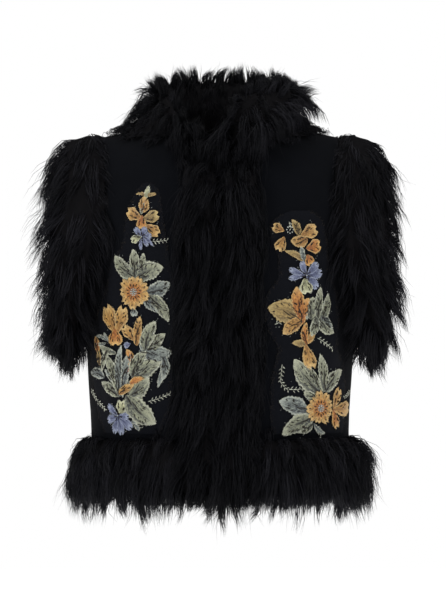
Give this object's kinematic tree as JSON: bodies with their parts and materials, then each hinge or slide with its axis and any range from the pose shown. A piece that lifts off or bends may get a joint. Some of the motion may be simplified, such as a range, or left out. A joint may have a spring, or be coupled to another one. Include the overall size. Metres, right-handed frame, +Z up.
{
  "type": "shearling vest",
  "caption": "Cropped sleeveless vest of dark cloth in its worn, hollow form, with long fur on collar, front edges, armholes and hem, and a raised flower and leaf applique on each front.",
  "frame": {"origin": "midway between the two shoulder seams, 8 mm below their neck ends and 15 mm above their tips, where the wearer's shoulders carry the vest", "axes": "+Z up, the front faces -Y, the wearer's left is at +X"},
  "size_m": [0.5413, 0.3108, 0.6601],
  "materials": {
    "cloth": "matte brushed wool-like cloth, near black",
    "fur": "long glossy black fur on a dark pelt",
    "ground": "dark net-like cloth with a fuzzy edge",
    "thread_orange": "satin embroidery thread",
    "thread_ochre": "satin embroidery thread",
    "thread_green": "satin embroidery thread",
    "thread_blue": "satin embroidery thread"
  },
  "bodies": {
    "root": {"front_right": "cloth", "front_left": "cloth", "back": "cloth", "fur_armhole_left": "fur", "fur_armhole_right": "fur", "fur_collar": "fur", "fur_front_left": "fur", "fur_front_right": "fur", "fur_hem_back": "fur", "fur_hem_left": "fur", "fur_hem_right": "fur", "applique_ground_right": "ground", "applique_ground_left": "ground", "blue_bloom_left": "thread_blue", "blue_foot_right": "thread_blue", "blue_top_right": "thread_blue", "bud_calyx_right": "thread_ochre", "bud_side_high_right": "thread_ochre", "bud_side_low_right": "thread_ochre", "bud_top_right": "thread_ochre", "leaf_broad_right": "thread_green", "leaf_bud_left": "thread_green", "leaf_crown_left": "thread_green", "leaf_crown_right": "thread_green", "leaf_fall_mid_right": "thread_green", "leaf_fall_outer_right": "thread_green", "leaf_foot_right": "thread_green", "leaf_inner_high_left": "thread_green", "leaf_inner_high_right": "thread_green", "leaf_inner_low_left": "thread_green", "leaf_inner_low_right": "thread_green", "leaf_inner_maple_right": "thread_green", "leaf_low_right": "thread_green", "leaf_side_right": "thread_green", "leaf_spur_left": "thread_green", "leaf_tall_left": "thread_green", "ochre_drop_left": "thread_ochre", "ochre_maple_left": "thread_ochre", "ochre_pansy_left": "thread_ochre", "ochre_pansy_right": "thread_ochre", "ochre_petal_right": "thread_ochre", "ochre_sprig_left": "thread_ochre", "orange_bloom_left": "thread_orange", "orange_bloom_right": "thread_orange", "orange_fleck_right": "thread_orange", "petal_inner_left": "thread_ochre", "petal_inner_low_left": "thread_ochre", "petals_top_left": "thread_ochre", "petals_top_right": "thread_ochre"}
  },
  "joints": []
}
